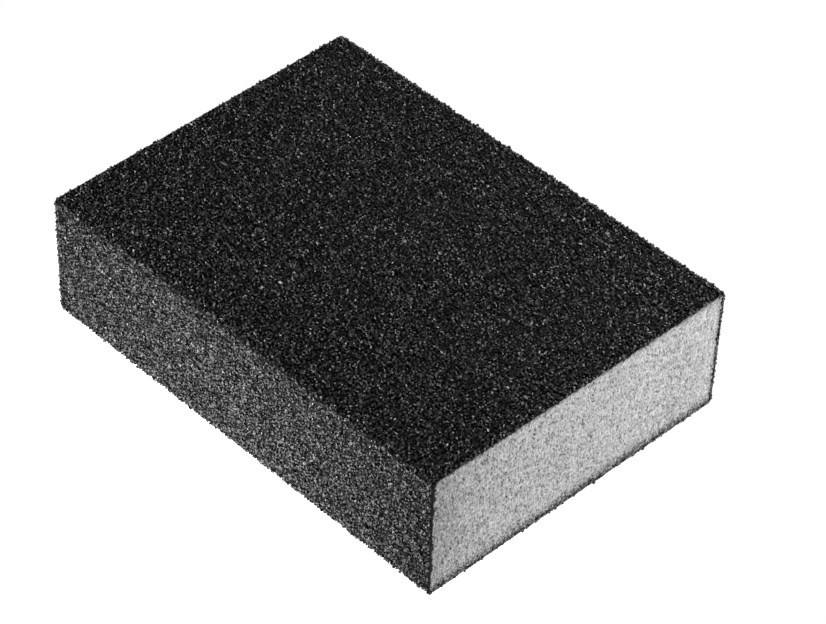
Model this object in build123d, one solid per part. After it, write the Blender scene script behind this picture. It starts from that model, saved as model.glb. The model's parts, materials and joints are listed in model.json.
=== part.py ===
from build123d import *
import os

# Flexible sanding block: a bar of foam, coated with abrasive on its top, bottom, front and
# rear, with both ends cut square and left bare.
# Millimetres. +X runs along the block, +Y to the rear and +Z up. The origin is the middle of
# the bottom working face, which the block rests on.

# The block, measured over its coatings
block_length = 96.0
block_width = 70.0
block_height = 26.5

# One coating, from the foam outwards
make_coat_depth = 0.15  # first resin, which the grains are bedded in
size_coat_depth = 0.10  # second resin, which locks the grains' roots
grit_depth = 0.35  # the grains' part that stands clear of the resin

# The foam's own long edges are rounded, and each layer follows them at its own distance
foam_edge_radius = 0.4

# Worked out from the sizes above
coating_depth = make_coat_depth + size_coat_depth + grit_depth
foam_width = block_width - 2 * coating_depth
foam_height = block_height - 2 * coating_depth
flat_width = foam_width - 2 * foam_edge_radius  # large faces, between the rounded edges

# Each layer's name, with how far its inner and outer surfaces lie from the foam
layers = {
    "make_coat": (0, make_coat_depth),
    "size_coat": (make_coat_depth, make_coat_depth + size_coat_depth),
    "grit": (make_coat_depth + size_coat_depth, coating_depth),
}


def section(distance):
    """The block's cross-section, grown from the foam's by a distance."""
    return RectangleRounded(
        foam_width + 2 * distance,
        foam_height + 2 * distance,
        foam_edge_radius + distance,
    )


def bar(profile):
    """A cross-section, Y across and Z up, run along the whole block."""
    centred = extrude(Plane.YZ * profile, amount=block_length / 2, both=True)
    return Pos(0, 0, block_height / 2) * centred


def flat_layer(inner, outer, side):
    """A layer of the top (side 1) or bottom (side -1) coating, between the rounded edges."""
    middle = foam_height / 2 + (inner + outer) / 2
    return bar(Pos(0, side * middle) * Rectangle(flat_width, outer - inner))


def wrapped_layer(inner, outer, side):
    """A layer of the front (side -1) or rear (side 1) coating, with the edges it wraps round."""
    reach = block_width  # wider than the block, so that one half of it is cut away whole
    half = Pos(side * (flat_width + reach) / 2, 0) * Rectangle(reach, 2 * block_height)
    return bar((section(outer) - section(inner)) & half)


pieces = {"foam_core": bar(section(0))}
for layer, (inner, outer) in layers.items():
    pieces[f"top_{layer}"] = flat_layer(inner, outer, 1)
    pieces[f"bottom_{layer}"] = flat_layer(inner, outer, -1)
    pieces[f"front_{layer}"] = wrapped_layer(inner, outer, -1)
    pieces[f"rear_{layer}"] = wrapped_layer(inner, outer, 1)

os.makedirs("parts", exist_ok=True)
for name, piece in pieces.items():
    piece.label = name
    export_step(piece, f"parts/{name}.step")
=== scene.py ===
import json
import math
import random

import bmesh
import bpy
from mathutils import Matrix, Vector, noise

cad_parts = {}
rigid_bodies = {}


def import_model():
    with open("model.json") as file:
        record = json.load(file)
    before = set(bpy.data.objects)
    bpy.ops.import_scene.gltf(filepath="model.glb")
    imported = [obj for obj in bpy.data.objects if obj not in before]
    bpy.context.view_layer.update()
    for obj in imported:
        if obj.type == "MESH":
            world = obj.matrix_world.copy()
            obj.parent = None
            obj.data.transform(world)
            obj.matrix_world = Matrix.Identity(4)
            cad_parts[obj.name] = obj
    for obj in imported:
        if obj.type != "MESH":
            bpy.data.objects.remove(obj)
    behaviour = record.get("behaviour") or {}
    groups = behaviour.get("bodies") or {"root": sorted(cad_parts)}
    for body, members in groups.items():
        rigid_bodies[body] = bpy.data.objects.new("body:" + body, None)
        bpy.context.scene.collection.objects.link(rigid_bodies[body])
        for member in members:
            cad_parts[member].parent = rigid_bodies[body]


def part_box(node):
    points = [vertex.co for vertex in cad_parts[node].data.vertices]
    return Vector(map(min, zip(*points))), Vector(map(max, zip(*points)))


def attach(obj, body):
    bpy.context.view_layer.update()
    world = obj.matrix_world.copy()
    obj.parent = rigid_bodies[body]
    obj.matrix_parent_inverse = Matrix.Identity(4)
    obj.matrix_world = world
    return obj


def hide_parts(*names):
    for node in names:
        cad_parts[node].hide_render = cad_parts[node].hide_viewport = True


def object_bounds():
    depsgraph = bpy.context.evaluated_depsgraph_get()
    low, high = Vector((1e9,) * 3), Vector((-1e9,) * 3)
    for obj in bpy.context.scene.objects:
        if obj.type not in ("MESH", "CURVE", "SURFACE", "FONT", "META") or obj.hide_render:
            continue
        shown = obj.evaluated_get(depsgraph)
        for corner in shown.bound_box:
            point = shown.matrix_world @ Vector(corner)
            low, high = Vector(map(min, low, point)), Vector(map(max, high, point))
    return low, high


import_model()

mm = 0.001
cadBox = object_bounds()
blockLow, blockHigh = cadBox
blockMiddle = (blockLow + blockHigh) / 2

# the layers of the block, from the foam outwards
foamLow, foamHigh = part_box("foam_core")
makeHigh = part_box("top_make_coat")[1]
sizeLow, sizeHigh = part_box("top_size_coat")
endX = foamHigh.x  # where the bare ends are cut
flatY = makeHigh.y  # the large faces end here, and the rounded long edges start
foamEdgeRadius = foamHigh.y - flatY
foamRise = foamHigh.z - blockMiddle.z  # half of the foam's height
makeStand = makeHigh.z - foamHigh.z  # how far each coat's outside stands off the foam
sizeStand = sizeHigh.z - foamHigh.z

# a colour mix's sockets go by number, because the other kinds of mix share their names
colourMix = {"first": 6, "second": 7, "result": 2}

# the output of each type of random value, and the input for its lowest value
randomTypes = {"FLOAT_VECTOR": (0, 0), "FLOAT": (1, 2), "INT": (2, 4)}


# a node's socket that can stand in sums, and the way to add any other node
class Sock:
    def __init__(self, tree, socket=None):
        self.tree = tree
        self.socket = socket

    def add(self, kind, settings=None, values=None, out=0):
        node = self.tree.nodes.new(kind)
        for name, value in (settings or {}).items():
            if name == "stops":
                fillRamp(node.color_ramp, value)
            else:
                setattr(node, name, value)
        for name, value in (values or {}).items():
            if isinstance(value, Sock):
                self.tree.links.new(value.socket, node.inputs[name])
            else:
                node.inputs[name].default_value = value
        return Sock(self.tree, node.outputs[out] if node.outputs else None)

    def other(self, out):
        # another output of the same node
        return Sock(self.tree, self.socket.node.outputs[out])

    def sum(self, operation, a, b):
        return self.add("ShaderNodeMath", {"operation": operation}, {0: a, 1: b})

    def __add__(self, other):
        return self.sum("ADD", self, other)

    def __radd__(self, other):
        return self.sum("ADD", other, self)

    def __sub__(self, other):
        return self.sum("SUBTRACT", self, other)

    def __rsub__(self, other):
        return self.sum("SUBTRACT", other, self)

    def __mul__(self, other):
        return self.sum("MULTIPLY", self, other)

    def __rmul__(self, other):
        return self.sum("MULTIPLY", other, self)

    def __pow__(self, other):
        return self.sum("POWER", self, other)

    def between(self, low, high):
        # 0 at low and below, 1 at high and above, smooth in between
        settings = {"interpolation_type": "SMOOTHSTEP"}
        return self.add("ShaderNodeMapRange", settings, {"Value": self, "From Min": low, "From Max": high})

    def blend(self, first, second):
        # first colour where this socket is 0, second where it is 1
        values = {"Factor": self, colourMix["first"]: first, colourMix["second"]: second}
        return self.add("ShaderNodeMix", {"data_type": "RGBA"}, values, colourMix["result"])

    def bump(self, strength, depth):
        # this socket as the height of a bump, its depth in mm
        values = {"Strength": strength, "Distance": depth * mm, "Height": self}
        return self.add("ShaderNodeBump", None, values)

    def pattern(self, kind):
        # noise over this place, given as its size in mm, its detail and its roughness
        cell, detail, roughness = kind
        values = {"Vector": self, "Scale": 1 / cell, "Detail": detail, "Roughness": roughness}
        return self.add("ShaderNodeTexNoise", None, values)


def fillRamp(ramp, stops):
    while len(ramp.elements) < len(stops):
        ramp.elements.new(1.0)
    for element, (place, tone) in zip(ramp.elements, stops):
        element.position = place
        element.color = grey(tone)


def grey(value, warmth=0.0):
    return (value * (1 + warmth), value, value * (1 - warmth), 1)


def newMaterial(name):
    material = bpy.data.materials.new(name)
    material.use_nodes = True
    material.node_tree.nodes.clear()
    return material, Sock(material.node_tree)


def useShader(start, values):
    shader = start.add("ShaderNodeBsdfPrincipled", None, values)
    start.add("ShaderNodeOutputMaterial", None, {"Surface": shader})


def placeOnPiece(start, shift=(0.0, 0.0, 0.0), taller=1.0):
    # position in mm, shifted so that two patterns don't fall together
    coords = start.add("ShaderNodeTexCoord", out="Object")
    scale = (1 / mm, 1 / mm, 1 / (mm * taller))
    return start.add("ShaderNodeMapping", None, {"Vector": coords, "Location": shift, "Scale": scale})


# lengths in the looks are in mm, and a pattern is its size, its detail and its roughness
foamLook = {
    "strands": 0.92,  # grey of the cut tips
    "poreShade": 0.15,  # painted shade: grey deep in the cells
    "warmth": 0.004,
    "poreDepth": 0.42,
    "blotch": (7.0, 1.0, 0.5),
    "web": (0.29, 2.0, 0.6),
    "webEdge": (0.36, 0.64),
    "grain": (0.13, 3.0, 0.6),
    "shift": (2.0, 4.0, 9.0),
    "taller": 2.05,  # the foam's strands are this much taller than wide
    # the tips' tone: an even part, and the share of each pattern
    "evenTone": 0.357,
    "blotchTone": 0.05,
    "grainTone": 0.20,
    "webTone": 0.41,
    # darker next to each coat: its strength, and how far in it reaches. At the front this is painted
    # shade, where the light falls off towards the front edge
    "front": (0.28, 12.0),
    "rear": (0.70, 1.7),
    "bottom": (0.93, 3.9),
    "top": (0.65, 1.6),
    "darkeningFade": 2.0,  # a higher power keeps it nearer to the coat
    "evenDarkening": 0.25,
    "spotDarkening": 1.3,
    "spot": (0.45, 2.0, 0.6),
    "spotEdge": (0.40, 0.60),
    "darkest": 0.9,
    "frontShade": (0.16, 34.0),  # painted shade over the end, darker towards the front where the light falls off: its strength and its reach
    "bumpGrain": 0.4,
    "bumpWeb": 0.6,
    "bumpDepth": 0.10,
    "rough": 0.85,
    "roughGrain": 0.1,
    "gloss": 0.25,
    "sheen": 0.1,
}


def foamMaterial():
    look = foamLook
    material, start = newMaterial("grey_foam")
    place = placeOnPiece(start)
    upright = placeOnPiece(start, look["shift"], look["taller"])
    blotches = place.pattern(look["blotch"])
    spots = place.pattern(look["spot"]).between(*look["spotEdge"])
    fine = upright.pattern(look["grain"])
    web = upright.pattern(look["web"]).between(*look["webEdge"])
    # the place in the square block, before it settled
    squarePlace = start.add("ShaderNodeAttribute", {"attribute_name": "squarePlace"}, out="Vector")
    acrossY = start.add("ShaderNodeSeparateXYZ", None, {"Vector": squarePlace}, "Y")
    upZ = acrossY.other("Z")
    distances = {
        "front": acrossY - foamLow.y / mm,
        "rear": foamHigh.y / mm - acrossY,
        "bottom": upZ - foamLow.z / mm,
        "top": foamHigh.z / mm - upZ,
    }
    spotty = look["evenDarkening"] + look["spotDarkening"] * spots
    # spotted darkening next to each coat; the front's share of it is painted shade
    nearCoatDarkening = None
    for side, distance in distances.items():
        strength, reach = look[side]
        near = (1 - distance.between(0.0, reach)) ** look["darkeningFade"]
        sideDarkening = near * spotty * strength
        nearCoatDarkening = sideDarkening if nearCoatDarkening is None else nearCoatDarkening.sum("MAXIMUM", nearCoatDarkening, sideDarkening)
    nearCoatDarkening = nearCoatDarkening.sum("MINIMUM", nearCoatDarkening, look["darkest"])
    frontShadeStrength, frontShadeReach = look["frontShade"]
    # painted shade: the end grows darker towards the front, where the light falls off
    frontShadeFactor = 1 - (1 - distances["front"].between(0.0, frontShadeReach)) * frontShadeStrength
    mottled = blotches * look["blotchTone"] + fine * look["grainTone"] + web * look["webTone"]
    tone = (mottled + look["evenTone"]) * (1 - nearCoatDarkening) * frontShadeFactor
    tips = tone.blend(grey(0.0), grey(look["strands"], look["warmth"]))
    cutDepth = start.add("ShaderNodeAttribute", {"attribute_name": "cutDepth"}, out="Fac")
    # painted shade: the deeper the cut cell, the darker its floor
    poreShadeMask = cutDepth.between(0.0, look["poreDepth"])
    height = fine * look["bumpGrain"] + web * look["bumpWeb"]
    values = {
        "Base Color": poreShadeMask.blend(tips, grey(look["poreShade"], look["warmth"])),
        "Roughness": look["rough"] + fine * look["roughGrain"],
        "Normal": height.bump(1.0, look["bumpDepth"]),
        "Specular IOR Level": look["gloss"],
        "Sheen Weight": look["sheen"],
    }
    useShader(start, values)
    return material


resinLook = {
    "dark": 0.002,
    "ripple": (0.35, 3.0, 0.5),
    "speck": (0.12, 2.0, 0.6),
    "toneEdge": (0.35, 0.7),
    "gap": (0.65, 2.0, 0.55),  # where the resin has run thin
    "gapEdge": (0.44, 0.60),
    "shift": (3.0, 7.0, 1.0),
    "toneRipple": 0.6,
    "toneSpeck": 0.4,
    "bumpRipple": 0.7,
    "bumpSpeck": 0.3,
    "bumpStrength": 0.9,
    "bumpDepth": 0.08,
    "roughSpeck": 0.25,
    "gloss": 0.07,
}

# each resin's roughness, its palest grey, and the grey where it has run thin; the front's copy is darker,
# painted shade along the front's cut ends
resins = {
    "make_resin": {"rough": 0.45, "pale": 0.03, "thin": 0.19},
    "front_make_resin": {"rough": 0.45, "pale": 0.006, "thin": 0.010},
    "size_resin": {"rough": 0.35, "pale": 0.008, "thin": 0.004},
}


def resinMaterial(name):
    look = resinLook
    own = resins[name]
    material, start = newMaterial(name)
    place = placeOnPiece(start, look["shift"])
    ripples = place.pattern(look["ripple"])
    specks = place.pattern(look["speck"])
    gaps = place.pattern(look["gap"]).between(*look["gapEdge"])
    tone = (ripples * look["toneRipple"] + specks * look["toneSpeck"]).between(*look["toneEdge"])
    height = ripples * look["bumpRipple"] + specks * look["bumpSpeck"]
    values = {
        "Base Color": gaps.blend(tone.blend(grey(look["dark"]), grey(own["pale"])), grey(own["thin"])),
        "Roughness": own["rough"] + look["roughSpeck"] * specks,
        "Normal": height.bump(look["bumpStrength"], look["bumpDepth"]),
        "Specular IOR Level": look["gloss"],
    }
    useShader(start, values)
    return material


grainLook = {
    "dark": 0.006,
    "pale": 0.026,
    "warmth": -0.01,
    "chip": (0.10, 2.0, 0.6),
    "cloud": (2.5, 2.0, 0.5),
    "shift": (11.0, 5.0, 2.0),
    "fewPale": 2.0,  # a higher power leaves fewer pale grains
    "toneGrain": 0.7,
    "toneCloud": 0.3,
    "bumpStrength": 0.6,
    "bumpDepth": 0.03,
    "smooth": 0.21,  # roughness of the glassiest grains, and of the dullest
    "rough": 0.52,
    "roughChip": 0.15,
    "ior": 1.80,
}


def grainMaterial():
    look = grainLook
    material, start = newMaterial("black_grains")
    place = placeOnPiece(start, look["shift"])
    tone = start.add("ShaderNodeAttribute", {"attribute_name": "grainTone"}, out="Fac")
    chips = place.pattern(look["chip"])
    clouds = place.pattern(look["cloud"])
    mix = tone ** look["fewPale"] * look["toneGrain"] + clouds * look["toneCloud"]
    duller = (look["rough"] - look["smooth"]) * tone
    values = {
        "Base Color": mix.blend(grey(look["dark"]), grey(look["pale"], look["warmth"])),
        "Roughness": look["smooth"] + duller + look["roughChip"] * chips,
        "Normal": chips.bump(look["bumpStrength"], look["bumpDepth"]),
        "IOR": look["ior"],
    }
    useShader(start, values)
    return material


print("materials")
greyFoam = foamMaterial()
makeResin = resinMaterial("make_resin")
shadedFrontMakeResin = resinMaterial("front_make_resin")
sizeResin = resinMaterial("size_resin")
blackGrains = grainMaterial()


def objectFrom(bm, name, material):
    mesh = bpy.data.meshes.new(name)
    bm.to_mesh(mesh)
    bm.free()
    mesh.materials.append(material)
    piece = bpy.data.objects.new(name, mesh)
    bpy.context.scene.collection.objects.link(piece)
    return piece


def keepPiece(piece, slot, *nodes):
    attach(piece, "root")
    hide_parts(*nodes)


def ripple(place, size, seed):
    # smooth noise, about -1 to 1, with waves of the given size, moved along a slanting line by the seed
    return noise.noise(place / size + Vector((seed, 0.37 * seed, 1.9 * seed)))


def smoothFaces(bm):
    for face in bm.faces:
        face.smooth = True


# a soft block is never cut quite square
outOfSquare = {
    "taper": 0.19 * mm,  # how much further each end reaches at the rear, and less at the front
    "lean": 0.26 * mm,  # how far the rear's top edge leans out, and its bottom edge in
    "flare": 0.65 * mm,  # how far the top corner at the front and right stands up
}


def settle(bm):
    spec = outOfSquare
    for vert in bm.verts:
        rearward = vert.co.y / blockHigh.y
        upward = (vert.co.z - blockMiddle.z) / (blockHigh.z - blockMiddle.z)
        rightward = vert.co.x / endX
        corner = (1 + rightward) / 2 * (1 - rearward) / 2 * (1 + upward) / 2
        vert.co.x += spec["taper"] * rearward * rightward
        vert.co.y += spec["lean"] * upward * max(0.0, rearward)
        vert.co.z += spec["flare"] * corner


# the foam, with open cells on both cut ends
foamBlock = {
    "mesh": 0.15 * mm,  # of the cut ends
    "cellWidth": 0.43 * mm,  # from one foam cell to the next
    "cellHeight": 0.68 * mm,
    "deepest": 0.46 * mm,
    "shallowest": 0.25,  # share of the deepest
    "wall": 0.60,  # share of a cell over which its floor drops away from its walls
    "warp": 0.35,  # how far the cells are pulled out of shape, in cells
    "warpTurns": 1.7,  # how often that changes, for each cell
    "warpSeed": 4,  # not 0, which would take the clock's
    "wave": 5.0 * mm,
    "waveDepth": 0.02 * mm,
    "waveSeed": 3.0,
    "fuzz": 0.3 * mm,
    "fuzzDepth": 0.05 * mm,
    "fuzzSeed": 5.0,
    "endSeed": 7.3,
    "depthSeed": 5.3,
}


def cellDepth(place, side):
    # how far the floor of a cut foam cell lies below the cut
    spec = foamBlock
    spot = Vector((spec["endSeed"] * side, place.y / spec["cellWidth"], place.z / spec["cellHeight"]))
    spot += noise.noise_vector(spot * spec["warpTurns"]) * spec["warp"]
    near, centres = noise.voronoi(spot)
    fromWall = min(1.0, (near[1] - near[0]) / spec["wall"])
    opened = abs(noise.cell(centres[0] * spec["depthSeed"]))
    return spec["deepest"] * fromWall * (spec["shallowest"] + (1 - spec["shallowest"]) * opened)


def makeFoam():
    spec = foamBlock
    noise.seed_set(spec["warpSeed"])
    size = foamHigh - foamLow
    middle = (foamHigh + foamLow) / 2
    columns = round(size.y / spec["mesh"])
    rows = round(size.z / spec["mesh"])
    stretch = Matrix.Diagonal((size.y, size.z, 1, 1))
    quarter = math.radians(90)
    turn = Matrix.Rotation(quarter, 4, "Z") @ Matrix.Rotation(quarter, 4, "X")
    bm = bmesh.new()
    for side in (-1, 1):
        place = Matrix.Translation((side * endX, middle.y, middle.z)) @ turn @ stretch
        made = bmesh.ops.create_grid(bm, x_segments=columns, y_segments=rows, size=0.5, matrix=place)
        roundCorners(made["verts"], middle, size)
    rims = [edge for edge in bm.edges if edge.is_boundary]
    bmesh.ops.bridge_loops(bm, edges=rims)
    bmesh.ops.recalc_face_normals(bm, faces=bm.faces)
    openCells(bm)
    settle(bm)
    smoothFaces(bm)
    foam = objectFrom(bm, "foam_block", greyFoam)
    keepPiece(foam, "foam", "foam_core")


def roundCorners(verts, middle, size):
    # pulls the square corners of an end on to the rounded long edges
    radius = foamEdgeRadius
    for vert in verts:
        offY = vert.co.y - middle.y
        offZ = vert.co.z - middle.z
        cornerY = abs(offY) - (size.y / 2 - radius)
        cornerZ = abs(offZ) - (size.z / 2 - radius)
        if cornerY > 0 and cornerZ > 0:
            shrink = max(cornerY, cornerZ) / math.hypot(cornerY, cornerZ)
            vert.co.y = middle.y + math.copysign(size.y / 2 - radius + cornerY * shrink, offY)
            vert.co.z = middle.z + math.copysign(size.z / 2 - radius + cornerZ * shrink, offZ)


def openCells(bm):
    spec = foamBlock
    # both layers are in mm, for the foam's material, which paints shade deep in the cells by cutDepth
    cutDepth = bm.verts.layers.float.new("cutDepth")
    squarePlace = bm.verts.layers.float_vector.new("squarePlace")
    for vert in bm.verts:
        place = vert.co.copy()
        side = math.copysign(1, place.x)
        sink = cellDepth(place, side)
        sink += spec["waveDepth"] * (0.5 + 0.5 * ripple(place, spec["wave"], spec["waveSeed"]))
        sink += spec["fuzzDepth"] * (1 + ripple(place, spec["fuzz"], spec["fuzzSeed"]))
        vert.co.x -= side * sink
        vert[cutDepth] = sink / mm
        vert[squarePlace] = place / mm


print("foam")
makeFoam()


sides = ("top", "bottom", "front", "rear")  # the gritted ones
edgeSteps = 4  # round each of the long edges
weldDistance = 0.001 * mm
planeDistance = 0.0001 * mm


def profile(bm, side, distance, step):
    # a side's cross-section at the left end, at a distance from the foam
    up = 1 if side in ("top", "rear") else -1
    level = blockMiddle.z + up * (foamRise + distance)
    if side in ("top", "bottom"):
        vert = bmesh.ops.create_vert(bm, co=(-endX, -flatY * up, level))["vert"]
        runStraight(bm, vert, Vector((0, 2 * flatY * up, 0)), step)
        return
    # front and rear: one rounded edge, the flat, the other rounded edge
    flat = 2 * (foamRise - foamEdgeRadius)
    centre = Vector((-endX, flatY * up, blockMiddle.z + up * (foamRise - foamEdgeRadius)))
    vert = bmesh.ops.create_vert(bm, co=(-endX, flatY * up, level))["vert"]
    verts = runRound(bm, vert, centre)
    verts = runStraight(bm, verts[-1:], Vector((0, 0, -up * flat)), step)
    centre.z -= up * flat
    runRound(bm, verts[-1:], centre)


def run(bm, geom, centre, turn, way, steps):
    # runs the geometry on in steps, and returns the vertices at the far end
    made = bmesh.ops.spin(bm, geom=geom, cent=centre, axis=(1, 0, 0), dvec=way, angle=turn, steps=steps)
    return [part for part in made["geom_last"] if isinstance(part, bmesh.types.BMVert)]


def runStraight(bm, geom, way, step):
    steps = max(1, round(way.length / step))
    return run(bm, geom, (0, 0, 0), 0, way / steps, steps)


def runRound(bm, geom, centre):
    return run(bm, geom, centre, -math.pi / 2, (0, 0, 0), edgeSteps)


def sheet(side, distance, across, along, startX=-endX, length=2 * endX):
    # an open sheet at a distance from the foam, run along the block
    bm = bmesh.new()
    profile(bm, side, distance, across)
    bmesh.ops.translate(bm, vec=(startX + endX, 0, 0), verts=bm.verts)
    runStraight(bm, list(bm.verts) + list(bm.edges), Vector((length, 0, 0)), along)
    bmesh.ops.remove_doubles(bm, verts=bm.verts, dist=weldDistance)
    bmesh.ops.recalc_face_normals(bm, faces=bm.faces)
    faceOutwards(bm)
    return bm


def faceOutwards(bm):
    bm.normal_update()
    faces = list(bm.faces)
    face = faces[len(faces) // 2]
    if face.normal.dot(face.calc_center_median() - blockMiddle) < 0:
        bmesh.ops.reverse_faces(bm, faces=bm.faces)
    bm.normal_update()


def inOrder(bm):
    # operators leave these in an order that changes from run to run, and the grains follow it
    way = Vector((1.0, 0.37, 0.61))
    bm.verts.sort(key=lambda vert: vert.co.dot(way))
    bm.faces.sort(key=lambda face: face.calc_center_median().dot(way))


def waveSheet(bm, wave, height, seed):
    moves = [vert.normal * height * ripple(vert.co, wave, seed) for vert in bm.verts]
    for vert, move in zip(bm.verts, moves):
        vert.co += move


def cutRows(bm, fromEnd):
    # extra rows across the sheet, at these distances from both ends
    for distance in fromEnd:
        for side in (-1, 1):
            geom = list(bm.verts) + list(bm.edges) + list(bm.faces)
            spot = (side * (endX - distance), 0, 0)
            bmesh.ops.bisect_plane(bm, geom=geom, dist=planeDistance, plane_co=spot, plane_no=(1, 0, 0))


def thicken(bm, depth):
    # closes an open sheet towards the foam and returns its inner vertices
    outer = set(bm.verts)
    bmesh.ops.solidify(bm, geom=bm.faces[:], thickness=depth)
    return [vert for vert in bm.verts if vert not in outer]


# the coats' torn rims at the cut ends
tears = {
    "long": (0.9 * mm, 0.6),  # the size of the tears, and their share of the reach
    "short": (0.3 * mm, 0.6),
    "shortSeed": 4,  # added to a coat's own seed
    "rim": 0.01 * mm,  # a vertex this near to the cut is on the rim
}


def roughEnds(bm, reach, seed):
    longSize, longShare = tears["long"]
    shortSize, shortShare = tears["short"]
    for vert in bm.verts:
        if abs(vert.co.x) > endX - tears["rim"]:
            push = longShare * ripple(vert.co, longSize, seed)
            push += shortShare * ripple(vert.co, shortSize, seed + tears["shortSeed"])
            vert.co.x += math.copysign(reach * push, vert.co.x)


def towardsOutside(place):
    # outward direction of the foam's cross-section at a place
    offZ = place.z - blockMiddle.z
    inY = math.copysign(min(abs(place.y), flatY), place.y)
    inZ = math.copysign(min(abs(offZ), foamRise - foamEdgeRadius), offZ)
    way = place - Vector((place.x, inY, blockMiddle.z + inZ))
    way.x = 0
    return way.normalized()


# the first resin, which has run into the foam's outer cells
makeCoat = {
    "across": 0.15 * mm,
    "rows": (0.25 * mm, 0.7 * mm, 2.0 * mm, 6.0 * mm),
    # how deep it has run in at the deepest spots
    "soak": {"top": 0.38 * mm, "bottom": 0.72 * mm, "front": 0.52 * mm, "rear": 0.42 * mm},
    "soakEverywhere": 0.15,
    "soakPatches": (1.7 * mm, 1.2),  # their size, and their share of the soak
    "soakSpots": (0.50 * mm, 1.5),
    "ragged": 0.14 * mm,
    "seed": 2.0,
}


def soakIn(inner, reach, seed):
    spec = makeCoat
    patchSize, patchShare = spec["soakPatches"]
    spotSize, spotShare = spec["soakSpots"]
    for vert in inner:
        wet = spec["soakEverywhere"] + patchShare * ripple(vert.co, patchSize, seed)
        wet += spotShare * ripple(vert.co, spotSize, seed)
        vert.co -= towardsOutside(vert.co) * reach * min(1.0, max(0.0, wet))


def makeCoats(side, seed):
    spec = makeCoat
    bm = sheet(side, makeStand, spec["across"], 2 * endX)
    cutRows(bm, spec["rows"])
    inner = thicken(bm, makeStand)
    soakIn(inner, spec["soak"][side], seed)
    roughEnds(bm, spec["ragged"], seed)
    settle(bm)
    bmesh.ops.recalc_face_normals(bm, faces=bm.faces)
    # the front's coat takes the darker copy of the resin, painted shade along its cut ends
    coat = objectFrom(bm, side + "_make_resin", shadedFrontMakeResin if side == "front" else makeResin)
    keepPiece(coat, "make_coat", side + "_make_coat")


# the second resin, between the roots of the grains
sizeCoat = {
    "across": 0.60 * mm,
    "along": 0.60 * mm,
    "wave": 0.9 * mm,
    "waveHeight": 0.05 * mm,
    "ragged": 0.16 * mm,
    "seed": 12.0,
}


def sizeCoats(side):
    spec = sizeCoat
    bm = sheet(side, sizeStand, spec["across"], spec["along"])
    waveSheet(bm, spec["wave"], spec["waveHeight"], spec["seed"])
    thicken(bm, sizeHigh.z - sizeLow.z)
    roughEnds(bm, spec["ragged"], spec["seed"])
    settle(bm)
    bmesh.ops.recalc_face_normals(bm, faces=bm.faces)
    smoothFaces(bm)
    coat = objectFrom(bm, side + "_size_resin", sizeResin)
    keepPiece(coat, "size_coat", side + "_size_coat")


for number, side in enumerate(sides):
    makeCoats(side, makeCoat["seed"] + number)
    sizeCoats(side)
    print(side, "resin coats")


# the grains
grit = {
    "shapes": 14,
    "shapeSeed": 41,
    "corners": 8,
    "apart": 42,  # degrees between a grain's corners, at least
    "cornerReach": (0.42, 0.56),  # from the middle, as shares of the size
    "thick": (0.75, 1.1),
    "wide": (0.85, 1.15),
    "long": (0.95, 1.35),
    "size": 0.64 * mm,
    "sizeSpread": (0.80, 1.42),
    "fewLarge": 2.5,  # a higher power leaves fewer of the large ones
    "spacing": 0.43 * mm,
    "tries": 14.0e6,  # per square metre
    "sink": (0.00 * mm, 0.15 * mm),  # of a grain's middle, from the size coat outwards
    "inset": 0.07 * mm,  # from the cut ends to the middle of the last grains
    "frontGap": 0.24 * mm,  # the same at the front's right end, where the knife has torn grains off
}

# the pieces that each side's grains come in
bands = {
    "top": ("_left", "_middle", "_right"),
    "bottom": ("_left", "_middle", "_right"),
    "front": ("",),
    "rear": ("",),
}
bandSeed = {"first": 7, "side": 100, "band": 10}


def grainShapes():
    spec = grit
    random.seed(spec["shapeSeed"])
    tray = bpy.data.collections.new("grain_shapes")
    for number in range(spec["shapes"]):
        corners = []
        while len(corners) < spec["corners"]:
            way = Vector((random.gauss(0, 1), random.gauss(0, 1), random.gauss(0, 1))).normalized()
            if all(way.angle(other) > math.radians(spec["apart"]) for other in corners):
                corners.append(way)
        stretch = Vector([random.uniform(*spec[name]) for name in ("thick", "wide", "long")])
        bm = bmesh.new()
        for way in corners:
            spot = way * stretch * random.uniform(*spec["cornerReach"])
            bmesh.ops.create_vert(bm, co=spot)
        bmesh.ops.convex_hull(bm, input=bm.verts)
        bmesh.ops.recalc_face_normals(bm, faces=bm.faces)
        mesh = bpy.data.meshes.new("grain")
        bm.to_mesh(mesh)
        bm.free()
        mesh.materials.append(blackGrains)
        tray.objects.link(bpy.data.objects.new("grain_%02d" % number, mesh))
    return tray


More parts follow.
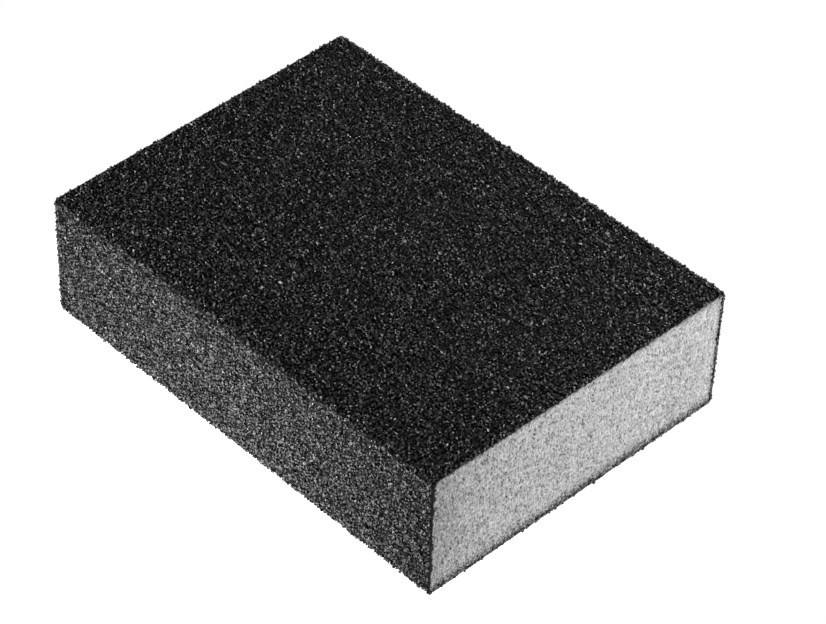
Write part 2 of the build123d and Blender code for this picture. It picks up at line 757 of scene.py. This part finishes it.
def grainSpread(tray, seed):
    spec = grit
    tree = bpy.data.node_groups.new("grain_spread", "GeometryNodeTree")
    tree.interface.new_socket("Geometry", in_out="INPUT", socket_type="NodeSocketGeometry")
    tree.interface.new_socket("Geometry", in_out="OUTPUT", socket_type="NodeSocketGeometry")
    start = Sock(tree)

    def chance(kind, low, high, salt):
        out, lowest = randomTypes[kind]
        values = {lowest: low, lowest + 1: high, "Seed": seed + salt}
        return start.add("FunctionNodeRandomValue", {"data_type": kind}, values, out)

    bed = start.add("NodeGroupInput")
    values = {"Mesh": bed, "Distance Min": spec["spacing"], "Density Max": spec["tries"], "Seed": seed}
    points = start.add("GeometryNodeDistributePointsOnFaces", {"distribute_method": "POISSON"}, values)
    values = {0: points.other("Normal"), "Scale": chance("FLOAT", *spec["sink"], 1)}
    step = start.add("ShaderNodeVectorMath", {"operation": "SCALE"}, values)
    points = start.add("GeometryNodeSetPosition", None, {"Geometry": points, "Offset": step})
    values = {"Collection": tray, "Separate Children": True, "Reset Children": True}
    shapes = start.add("GeometryNodeCollectionInfo", None, values)
    fullTurn = (math.tau, math.tau, math.tau)
    low, high = (spec["size"] * share for share in spec["sizeSpread"])
    values = {
        "Points": points,
        "Instance": shapes,
        "Pick Instance": True,
        "Instance Index": chance("INT", 0, spec["shapes"] - 1, 2),
        "Rotation": chance("FLOAT_VECTOR", (0, 0, 0), fullTurn, 3),
        "Scale": low + chance("FLOAT", 0.0, 1.0, 4) ** spec["fewLarge"] * (high - low),
    }
    grains = start.add("GeometryNodeInstanceOnPoints", None, values)
    settings = {"data_type": "FLOAT", "domain": "INSTANCE"}
    values = {"Geometry": grains, "Name": "grainTone", "Value": chance("FLOAT", 0.0, 1.0, 5)}
    grains = start.add("GeometryNodeStoreNamedAttribute", settings, values)
    grains = start.add("GeometryNodeRealizeInstances", None, {"Geometry": grains})
    start.add("NodeGroupOutput", None, {0: grains})
    return tree


def makeGrit(side, band, startX, length, tray, seed):
    # the fewest faces, because a fine mesh would set the grains out in rows
    bm = sheet(side, sizeStand, 2 * endX, length, startX, length)
    settle(bm)
    inOrder(bm)
    bed = objectFrom(bm, "bed", blackGrains)
    spread = bed.modifiers.new("grains", "NODES")
    spread.node_group = grainSpread(tray, seed)
    graph = bpy.context.evaluated_depsgraph_get()
    mesh = bpy.data.meshes.new_from_object(bed.evaluated_get(graph))
    name = side + "_grains" + band
    mesh.name = name
    bpy.data.objects.remove(bed)
    grains = bpy.data.objects.new(name, mesh)
    bpy.context.scene.collection.objects.link(grains)
    keepPiece(grains, "grit", side + "_grit")
    print(name, len(mesh.polygons), "faces")


tray = grainShapes()
for number, side in enumerate(sides):
    firstX = grit["inset"] - endX
    lastX = endX - (grit["frontGap"] if side == "front" else grit["inset"])
    length = (lastX - firstX) / len(bands[side])
    for place, band in enumerate(bands[side]):
        seed = bandSeed["first"] + bandSeed["side"] * number + bandSeed["band"] * place
        makeGrit(side, band, firstX + place * length, length, tray, seed)
for grain in list(tray.objects):
    bpy.data.objects.remove(grain)
bpy.data.collections.remove(tray)


# the floor and the sky around the block
studio = {
    "floorSize": 6.0,
    "floorDiffuse": 0.06,
    "floorGlow": 1.0,
    "brightSpot": (-0.002, -0.054, 0.0),  # where the floor sends up the most light
    "spotReach": 0.085,
    "spotGlow": 3.5,
    "sky": ((0.0, 0.80), (0.08, 0.50), (0.22, 0.055), (1.0, 0.035)),  # by height
    "backdrop": 1.0,  # what the camera sees of it
}

softboxes = {
    "front_softbox": {
        "place": (-0.135, -0.215, 0.06),
        "aim": (-0.03, -0.035, 0.01),
        "size": (0.06, 0.14),
        "power": 0.61,
    },
    "end_softbox": {
        "place": (0.19, 0.11, 0.09),
        "aim": (0.048, 0.01, 0.013),
        "size": (0.10, 0.08),
        "power": 0.29,
    },
    "back_softbox": {
        "place": (-0.25, 0.58, 0.34),
        "aim": blockMiddle,
        "size": (0.30, 0.16),
        "power": 1.65,
    },
}


def makeFloor():
    look = studio
    bm = bmesh.new()
    bmesh.ops.create_grid(bm, x_segments=1, y_segments=1, size=look["floorSize"] / 2)
    material, start = newMaterial("pale_floor")
    coords = start.add("ShaderNodeTexCoord", out="Object")
    values = {0: coords, 1: look["brightSpot"]}
    away = start.add("ShaderNodeVectorMath", {"operation": "DISTANCE"}, values, "Value")
    glow = away.between(0.0, look["spotReach"]).blend(grey(look["spotGlow"]), grey(look["floorGlow"]))
    values = {
        "Base Color": grey(look["floorDiffuse"]),
        "Roughness": 1.0,
        "Specular IOR Level": 0.0,
        "Emission Color": glow,
        "Emission Strength": 1.0,
    }
    useShader(start, values)
    objectFrom(bm, "floor", material)


def makeSky():
    world = bpy.data.worlds.new("studio")
    world.use_nodes = True
    world.node_tree.nodes.clear()
    start = Sock(world.node_tree)
    way = start.add("ShaderNodeTexCoord")  # on the sky its first output is the direction
    height = start.add("ShaderNodeSeparateXYZ", None, {"Vector": way}, "Z")
    sky = height.add("ShaderNodeValToRGB", {"stops": studio["sky"]}, {"Fac": height})
    seen = start.add("ShaderNodeLightPath")  # its first output is 1 for what the camera itself sees
    colour = seen.blend(sky, grey(studio["backdrop"]))
    background = start.add("ShaderNodeBackground", None, {"Color": colour, "Strength": 1.0})
    start.add("ShaderNodeOutputWorld", None, {"Surface": background})
    bpy.context.scene.world = world


def makeSoftbox(name):
    spec = softboxes[name]
    light = bpy.data.lights.new(name, "AREA")
    light.shape = "RECTANGLE"
    light.size, light.size_y = spec["size"]
    light.energy = spec["power"]
    lamp = bpy.data.objects.new(name, light)
    lamp.location = spec["place"]
    aim = Vector(spec["aim"]) - Vector(spec["place"])
    lamp.rotation_euler = aim.to_track_quat("-Z", "Y").to_euler()
    lamp.visible_camera = False
    bpy.context.scene.collection.objects.link(lamp)


# where the camera stands, measured from the middle of the block
view = {
    "azimuth": 44.80,
    "elevation": 42.66,
    "roll": 1.97,
    "distance": 607.9 * mm,
    "lens": 150.2,
    "sideways": 5.20 * mm,  # off the line to the middle of the block
    "down": 2.12 * mm,
    "near": 0.01,
    "far": 100,
}


def makeCamera():
    spec = view
    azimuth = math.radians(spec["azimuth"])
    elevation = math.radians(spec["elevation"])
    flat = math.cos(elevation)
    back = Vector((math.sin(azimuth) * flat, -math.cos(azimuth) * flat, math.sin(elevation)))
    level = Vector((math.cos(azimuth), math.sin(azimuth), 0))
    across = Matrix.Rotation(math.radians(spec["roll"]), 3, back) @ level
    up = back.cross(across)
    camera = bpy.data.objects.new("camera", bpy.data.cameras.new("camera"))
    camera.data.lens = spec["lens"]
    camera.data.clip_start = spec["near"]
    camera.data.clip_end = spec["far"]
    axes = Matrix((across, up, back)).transposed().to_4x4()
    spot = blockMiddle + back * spec["distance"] + across * spec["sideways"] - up * spec["down"]
    camera.matrix_world = Matrix.Translation(spot) @ axes
    bpy.context.scene.collection.objects.link(camera)
    bpy.context.scene.camera = camera


makeFloor()
makeSky()
for name in softboxes:
    makeSoftbox(name)
makeCamera()
bpy.context.scene.view_settings.view_transform = "Standard"
print("studio")
